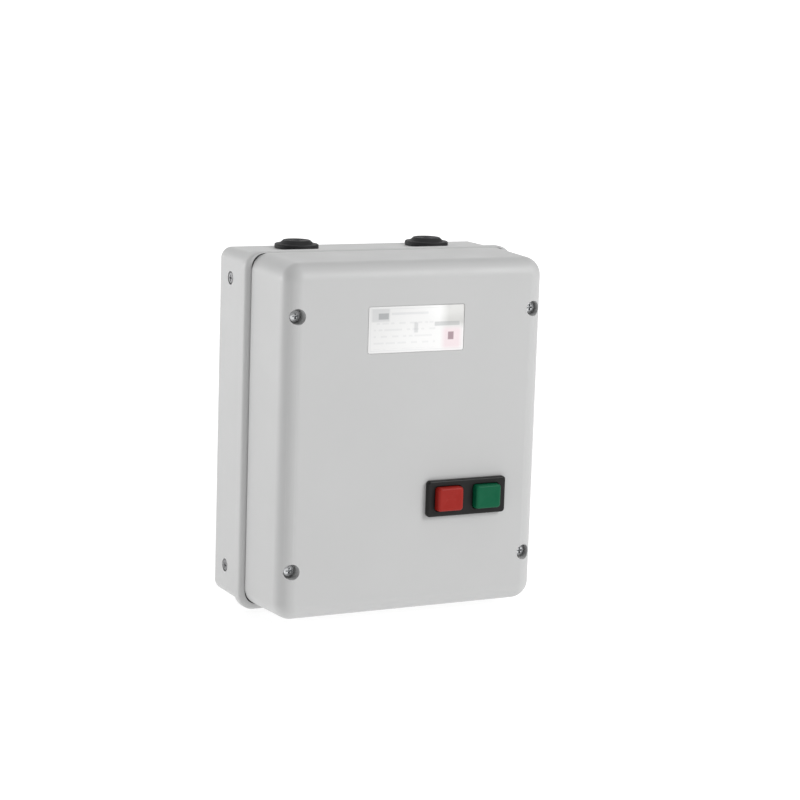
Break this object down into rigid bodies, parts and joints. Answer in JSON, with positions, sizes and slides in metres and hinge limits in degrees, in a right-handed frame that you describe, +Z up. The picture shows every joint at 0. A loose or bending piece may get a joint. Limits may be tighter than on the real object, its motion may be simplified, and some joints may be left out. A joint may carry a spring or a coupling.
{
  "type": "enclosed magnetic motor starter",
  "caption": "Wall-mounting motor starter: grey two-part plastic case with black cable grommets on top, a white label, and red stop and green start buttons over a contactor and overload relay.",
  "frame": {"origin": "a point on the flat back face that lies on the wall, midway between its sides and 1.25 mm above its middle, level with the middle of the cover", "axes": "+Z up, +Y into the wall so the cover and buttons face -Y, +X to the right of someone facing the cover"},
  "size_m": [0.211, 0.121, 0.2594],
  "materials": {
    "case_plastic": "fine matt moulding texture, light grey",
    "seal_rubber": "matt",
    "grommet_rubber": "matt black",
    "plated_screw": "bright zinc plate",
    "label_film": "printed white film",
    "zinc_steel": "zinc plated sheet",
    "brass": "machined",
    "black_plastic": "satin",
    "red_plastic": "satin",
    "green_plastic": "satin",
    "spring_steel": "drawn wire",
    "device_plastic": "fine matt, dark grey",
    "ivory_plastic": "smooth",
    "magnet_iron": "laminated, oiled",
    "copper_winding": "enamelled wire under tape",
    "contact_copper": "copper, stamped",
    "blue_plastic": "satin",
    "cable_pvc": "insulated wire"
  },
  "bodies": {
    "base": {"base_enclosure": "case_plastic", "cover_gasket": "seal_rubber", "cable_grommet_left": "grommet_rubber", "cable_grommet_right": "grommet_rubber", "chassis_screw_top_left": "plated_screw", "chassis_screw_top_right": "plated_screw", "chassis_screw_bottom_left": "plated_screw", "chassis_screw_bottom_right": "plated_screw", "mounting_plate": "zinc_steel", "din_rail": "zinc_steel", "earth_terminal": "brass", "earth_terminal_screw": "plated_screw", "start_contact_housing": "device_plastic", "contactor_base": "device_plastic", "contactor_arc_chamber": "device_plastic", "magnet_core": "magnet_iron", "coil_bobbin": "ivory_plastic", "coil_winding": "copper_winding", "carrier_spring": "spring_steel", "line_terminal_l1": "contact_copper", "line_screw_l1": "plated_screw", "load_terminal_t1": "contact_copper", "load_screw_t1": "plated_screw", "overload_heater_t1": "contact_copper", "line_terminal_l2": "contact_copper", "line_screw_l2": "plated_screw", "load_terminal_t2": "contact_copper", "load_screw_t2": "plated_screw", "overload_heater_t2": "contact_copper", "line_terminal_l3": "contact_copper", "line_screw_l3": "plated_screw", "load_terminal_t3": "contact_copper", "load_screw_t3": "plated_screw", "overload_heater_t3": "contact_copper", "overload_housing": "device_plastic", "wire_l1_to_relay": "cable_pvc", "wire_relay_to_start": "cable_pvc", "wire_start_to_coil": "cable_pvc", "wire_coil_to_l3": "cable_pvc"},
    "cover": {"cover": "case_plastic", "rating_label": "label_film", "button_bezel": "black_plastic", "button_retainer": "black_plastic", "stop_button_spring": "spring_steel", "start_button_spring": "spring_steel"},
    "stop_button": {"stop_button": "red_plastic"},
    "start_button": {"start_button": "green_plastic"},
    "overload_reset": {"overload_reset_button": "blue_plastic"},
    "start_pusher": {"start_contact_pusher": "ivory_plastic"},
    "contact_carrier": {"contact_carrier": "ivory_plastic", "armature": "magnet_iron", "contact_bridge_l1": "contact_copper", "contact_bridge_l2": "contact_copper", "contact_bridge_l3": "contact_copper"},
    "trip_bar": {"overload_trip_bar": "ivory_plastic"},
    "current_dial": {"overload_dial": "ivory_plastic"},
    "cover_screw_top_left": {"cover_screw_top_left": "plated_screw"},
    "cover_screw_top_right": {"cover_screw_top_right": "plated_screw"},
    "cover_screw_bottom_left": {"cover_screw_bottom_left": "plated_screw"},
    "cover_screw_bottom_right": {"cover_screw_bottom_right": "plated_screw"}
  },
  "joints": [
    {"name": "cover_lift_off", "type": "slide", "parent": "base", "child": "cover", "axis": [0, -1, 0], "range_m": [0, 0.15]},
    {"name": "stop_press", "type": "slide", "parent": "cover", "child": "stop_button", "axis": [0, 1, 0], "range_m": [0, 0.004], "stiffness_N_per_m": 400, "springref_m": -0.003, "deforming": ["stop_button_spring"]},
    {"name": "start_press", "type": "slide", "parent": "cover", "child": "start_button", "axis": [0, 1, 0], "range_m": [0, 0.004], "stiffness_N_per_m": 400, "springref_m": -0.003, "deforming": ["start_button_spring"]},
    {"name": "overload_reset_press", "type": "slide", "parent": "base", "child": "overload_reset", "axis": [0, 1, 0], "range_m": [0, 0.004]},
    {"name": "start_contact_press", "type": "slide", "parent": "base", "child": "start_pusher", "axis": [0, 1, 0], "range_m": [0, 0.004]},
    {"name": "contactor_pull_in", "type": "slide", "parent": "base", "child": "contact_carrier", "axis": [0, 1, 0], "range_m": [0, 0.0035], "stiffness_N_per_m": 600, "springref_m": -0.005, "deforming": ["carrier_spring"]},
    {"name": "trip_bar_shift", "type": "slide", "parent": "base", "child": "trip_bar", "axis": [1, 0, 0], "range_m": [0, 0.0015], "stiffness_N_per_m": 150, "springref_m": -0.001},
    {"name": "current_dial_turn", "type": "hinge", "parent": "base", "child": "current_dial", "pos_m": [-0.002, -0.078, -0.034], "axis": [0, -1, 0], "range_deg": [-120, 120]},
    {"name": "cover_screw_top_left_turn", "type": "hinge", "parent": "cover", "child": "cover_screw_top_left", "pos_m": [-0.091, -0.104, 0.0885], "axis": [0, -1, 0], "continuous": true},
    {"name": "cover_screw_top_right_turn", "type": "hinge", "parent": "cover", "child": "cover_screw_top_right", "pos_m": [0.091, -0.104, 0.0885], "axis": [0, -1, 0], "continuous": true},
    {"name": "cover_screw_bottom_left_turn", "type": "hinge", "parent": "cover", "child": "cover_screw_bottom_left", "pos_m": [-0.091, -0.104, -0.0885], "axis": [0, -1, 0], "continuous": true},
    {"name": "cover_screw_bottom_right_turn", "type": "hinge", "parent": "cover", "child": "cover_screw_bottom_right", "pos_m": [0.091, -0.104, -0.0885], "axis": [0, -1, 0], "continuous": true}
  ],
  "couplings": [
    {"joint": "overload_reset_press", "follows": "stop_press", "ratio": 1},
    {"joint": "start_contact_press", "follows": "start_press", "ratio": 1}
  ]
}
